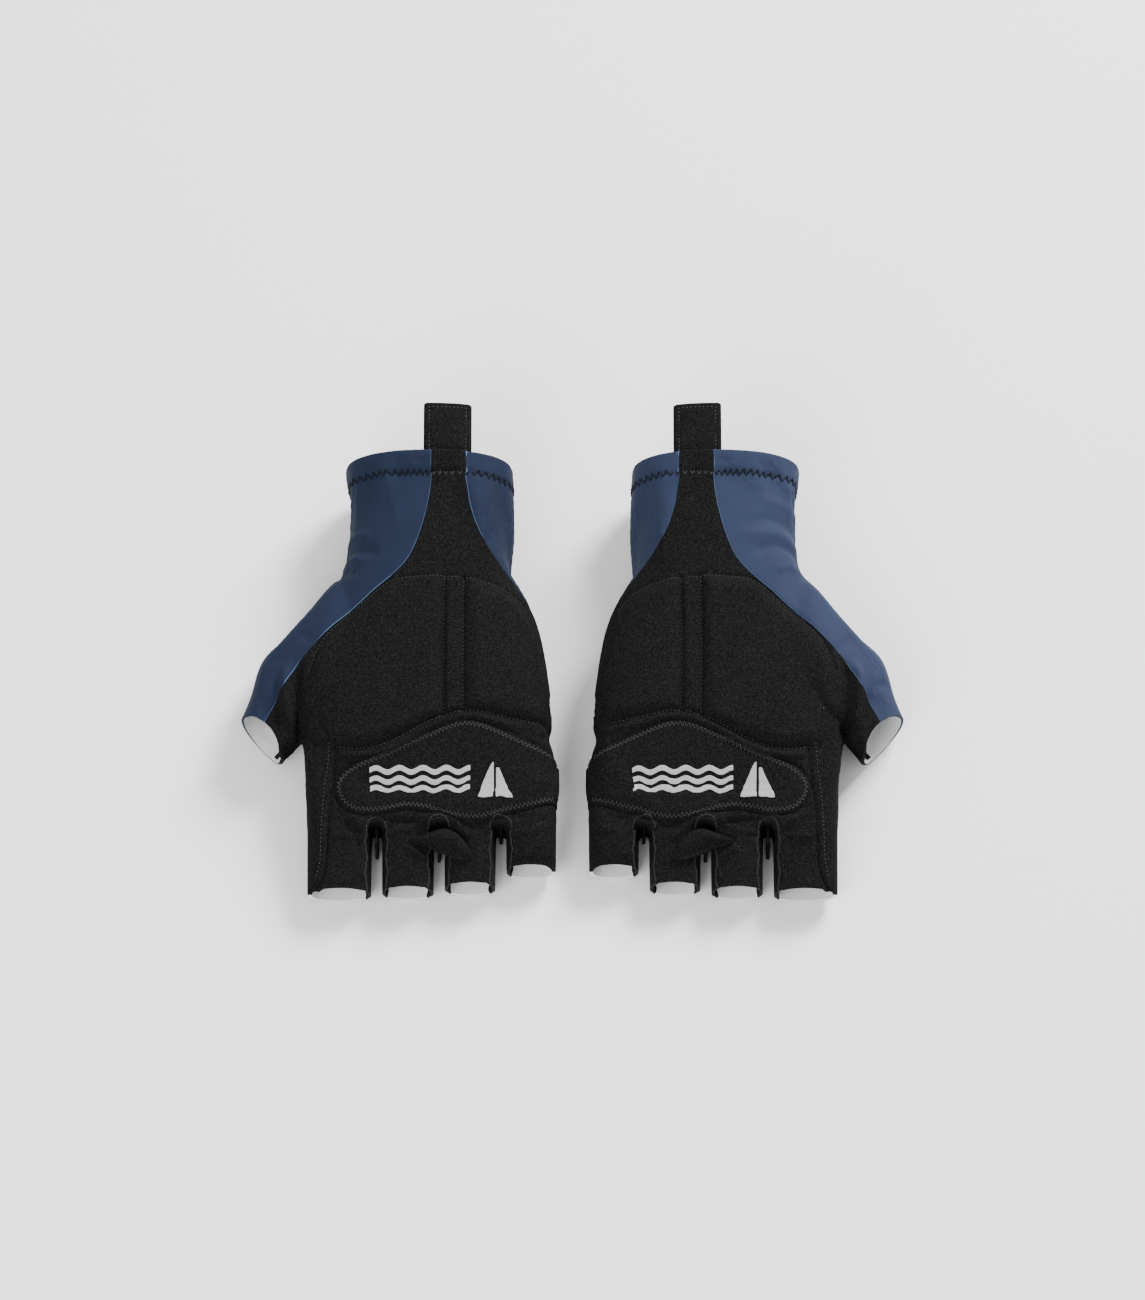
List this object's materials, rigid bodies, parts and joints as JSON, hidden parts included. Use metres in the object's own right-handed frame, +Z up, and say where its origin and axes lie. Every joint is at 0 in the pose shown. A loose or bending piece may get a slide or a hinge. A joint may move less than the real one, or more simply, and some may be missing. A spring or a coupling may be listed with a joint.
{
  "type": "short-finger sailing gloves",
  "caption": "Short-finger gloves for right and left hand, with padded suede palms, stretch backs, open thumb and finger stalls, turned cuffs and pull tabs, lying palms up.",
  "frame": {"origin": "under the middle of the pair, on the surface the gloves lie on", "axes": "+X from the right-hand glove to the left-hand glove, +Y from the fingers to the cuffs, +Z up out of the palms"},
  "size_m": [0.2458, 0.183, 0.0423],
  "materials": {
    "suede": "matt synthetic suede, black",
    "tab_suede": "matt doubled synthetic suede, black",
    "stretch_blue": "fine stretch knit, slate blue, white inside",
    "knit_black": "matt knit, black",
    "binding_black": "narrow folded edge, black",
    "foam": "soft foam, sewn in",
    "silicone_grey": "satin silicone print, light grey"
  },
  "bodies": {
    "right_glove": {"right_palm_panel": "suede", "right_back_panel": "stretch_blue", "right_index_side_panel": "suede", "right_thenar_pad": "foam", "right_hypothenar_pad": "foam", "right_knuckle_pad": "suede", "right_grip_print": "silicone_grey", "right_cuff_hem": "stretch_blue", "right_fourchette_webs": "knit_black", "right_pull_tab_root": "tab_suede"},
    "right_index_finger": {"right_index_palm_strip": "suede", "right_index_back_strip": "stretch_blue", "right_index_side_walls": "knit_black", "right_index_binding": "binding_black"},
    "right_middle_finger": {"right_middle_palm_strip": "suede", "right_middle_back_strip": "stretch_blue", "right_middle_side_walls": "knit_black", "right_middle_binding": "binding_black"},
    "right_ring_finger": {"right_ring_palm_strip": "suede", "right_ring_back_strip": "stretch_blue", "right_ring_side_walls": "knit_black", "right_ring_binding": "binding_black"},
    "right_little_finger": {"right_little_palm_strip": "suede", "right_little_back_strip": "stretch_blue", "right_little_side_walls": "knit_black", "right_little_binding": "binding_black"},
    "right_thumb": {"right_thumb_palm_panel": "suede", "right_thumb_back_panel": "stretch_blue", "right_thumb_binding": "binding_black"},
    "right_pull_tab": {"right_pull_tab": "tab_suede"},
    "left_glove": {"left_palm_panel": "suede", "left_back_panel": "stretch_blue", "left_index_side_panel": "suede", "left_thenar_pad": "foam", "left_hypothenar_pad": "foam", "left_knuckle_pad": "suede", "left_grip_print": "silicone_grey", "left_cuff_hem": "stretch_blue", "left_fourchette_webs": "knit_black", "left_pull_tab_root": "tab_suede"},
    "left_index_finger": {"left_index_palm_strip": "suede", "left_index_back_strip": "stretch_blue", "left_index_side_walls": "knit_black", "left_index_binding": "binding_black"},
    "left_middle_finger": {"left_middle_palm_strip": "suede", "left_middle_back_strip": "stretch_blue", "left_middle_side_walls": "knit_black", "left_middle_binding": "binding_black"},
    "left_ring_finger": {"left_ring_palm_strip": "suede", "left_ring_back_strip": "stretch_blue", "left_ring_side_walls": "knit_black", "left_ring_binding": "binding_black"},
    "left_little_finger": {"left_little_palm_strip": "suede", "left_little_back_strip": "stretch_blue", "left_little_side_walls": "knit_black", "left_little_binding": "binding_black"},
    "left_thumb": {"left_thumb_palm_panel": "suede", "left_thumb_back_panel": "stretch_blue", "left_thumb_binding": "binding_black"},
    "left_pull_tab": {"left_pull_tab": "tab_suede"}
  },
  "joints": [
    {"name": "right_index_finger_bend", "type": "hinge", "parent": "right_glove", "child": "right_index_finger", "pos_m": [-0.0849, -0.066, 0.019], "axis": [-1, 0, 0], "range_deg": [0, 60]},
    {"name": "right_middle_finger_bend", "type": "hinge", "parent": "right_glove", "child": "right_middle_finger", "pos_m": [-0.0604, -0.066, 0.019], "axis": [-1, 0, 0], "range_deg": [0, 60]},
    {"name": "right_ring_finger_bend", "type": "hinge", "parent": "right_glove", "child": "right_ring_finger", "pos_m": [-0.0376, -0.066, 0.019], "axis": [-1, 0, 0], "range_deg": [0, 60]},
    {"name": "right_little_finger_bend", "type": "hinge", "parent": "right_glove", "child": "right_little_finger", "pos_m": [-0.0157, -0.066, 0.019], "axis": [-1, 0, 0], "range_deg": [0, 60]},
    {"name": "right_thumb_fold", "type": "hinge", "parent": "right_glove", "child": "right_thumb", "pos_m": [-0.0923, -0.00045, 0.0303], "axis": [0.1935, 0.9811, 0], "range_deg": [0, 50]},
    {"name": "right_pull_tab_flip", "type": "hinge", "parent": "right_glove", "child": "right_pull_tab", "pos_m": [-0.04635, 0.072, 0.0381], "axis": [1, 0, 0], "range_deg": [-70, 90], "stiffness_Nm_per_rad": 0.004},
    {"name": "left_index_finger_bend", "type": "hinge", "parent": "left_glove", "child": "left_index_finger", "pos_m": [0.0849, -0.066, 0.019], "axis": [-1, 0, 0], "range_deg": [0, 60]},
    {"name": "left_middle_finger_bend", "type": "hinge", "parent": "left_glove", "child": "left_middle_finger", "pos_m": [0.0604, -0.066, 0.019], "axis": [-1, 0, 0], "range_deg": [0, 60]},
    {"name": "left_ring_finger_bend", "type": "hinge", "parent": "left_glove", "child": "left_ring_finger", "pos_m": [0.0376, -0.066, 0.019], "axis": [-1, 0, 0], "range_deg": [0, 60]},
    {"name": "left_little_finger_bend", "type": "hinge", "parent": "left_glove", "child": "left_little_finger", "pos_m": [0.0157, -0.066, 0.019], "axis": [-1, 0, 0], "range_deg": [0, 60]},
    {"name": "left_thumb_fold", "type": "hinge", "parent": "left_glove", "child": "left_thumb", "pos_m": [0.0923, -0.00045, 0.0303], "axis": [0.1935, -0.9811, 0], "range_deg": [0, 50]},
    {"name": "left_pull_tab_flip", "type": "hinge", "parent": "left_glove", "child": "left_pull_tab", "pos_m": [0.04635, 0.072, 0.0381], "axis": [1, 0, 0], "range_deg": [-70, 90], "stiffness_Nm_per_rad": 0.004},
    {"name": "left_glove_slide", "type": "slide", "parent": "right_glove", "child": "left_glove", "axis": [1, 0, 0], "range_m": [0, 0.15]}
  ]
}
